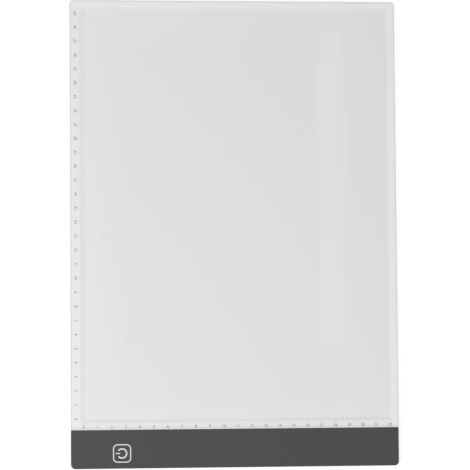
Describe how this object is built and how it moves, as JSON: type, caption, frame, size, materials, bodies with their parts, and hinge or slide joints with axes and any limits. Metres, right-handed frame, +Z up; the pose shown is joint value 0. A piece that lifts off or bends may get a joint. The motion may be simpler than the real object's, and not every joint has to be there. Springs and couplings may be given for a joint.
{
  "type": "led tracing pad",
  "caption": "Slim A4 tracing light pad: milky sheet with centimetre scales over an edge-lit panel, and a dark end bar with a touch key and USB inlet.",
  "frame": {"origin": "centre of the pad's outline, on the table under its feet", "axes": "+X across the pad to the right, +Y along it from the dark bar to the far edge, +Z up out of the tracing face"},
  "size_m": [0.235, 0.335, 0.006],
  "materials": {
    "milky_sheet": "milky acrylic with a soft satin face",
    "clear_acrylic": "clear polished acrylic",
    "white_film": "white reflective film",
    "frosted_film": "frosted diffusing film",
    "white_tape": "white double-sided tape",
    "black_tape": "opaque black tape",
    "white_abs": "moulded white ABS, fine matt",
    "dark_abs": "moulded dark grey ABS, fine matt",
    "strip_aluminium": "aluminium-backed strip board",
    "led_plastic": "white LED package with a pale yellow face",
    "green_board": "green solder mask on glass-epoxy board",
    "chip_plastic": "moulded black plastic",
    "ceramic": "tan chip ceramic",
    "dark_ceramic": "dark chip ceramic",
    "conductive_foam": "grey conductive foam",
    "stamped_steel": "stamped and plated steel",
    "screw_steel": "zinc-plated screw steel",
    "red_sleeve": "red PVC sleeve",
    "black_sleeve": "black PVC sleeve",
    "foot_rubber": "moulded black rubber"
  },
  "bodies": {
    "root": {"cover_sheet": "milky_sheet", "light_guide_plate": "clear_acrylic", "reflector_film": "white_film", "diffuser_film": "frosted_film", "tape_left": "white_tape", "tape_right": "white_tape", "tape_far": "white_tape", "light_shield_tape": "black_tape", "rear_tray": "white_abs", "bar_top_cover": "dark_abs", "bar_rear_cover": "dark_abs", "led_board": "strip_aluminium", "led_01": "led_plastic", "led_02": "led_plastic", "led_03": "led_plastic", "led_04": "led_plastic", "led_05": "led_plastic", "led_06": "led_plastic", "led_07": "led_plastic", "led_08": "led_plastic", "led_09": "led_plastic", "led_10": "led_plastic", "led_11": "led_plastic", "led_12": "led_plastic", "led_13": "led_plastic", "led_14": "led_plastic", "led_15": "led_plastic", "led_16": "led_plastic", "led_17": "led_plastic", "led_18": "led_plastic", "led_19": "led_plastic", "led_20": "led_plastic", "led_21": "led_plastic", "led_22": "led_plastic", "led_23": "led_plastic", "led_24": "led_plastic", "driver_board": "green_board", "touch_chip": "chip_plastic", "power_transistor": "chip_plastic", "usb_socket_insulator": "chip_plastic", "input_capacitor": "ceramic", "current_resistor_1": "dark_ceramic", "current_resistor_2": "dark_ceramic", "touch_sensor_foam": "conductive_foam", "usb_socket_shell": "stamped_steel", "bar_screw_1": "screw_steel", "bar_screw_2": "screw_steel", "bar_screw_3": "screw_steel", "bar_screw_4": "screw_steel", "lead_positive": "red_sleeve", "lead_negative": "black_sleeve", "foot_bar_left": "foot_rubber", "foot_bar_right": "foot_rubber", "foot_far_left": "foot_rubber", "foot_far_right": "foot_rubber"}
  },
  "joints": []
}
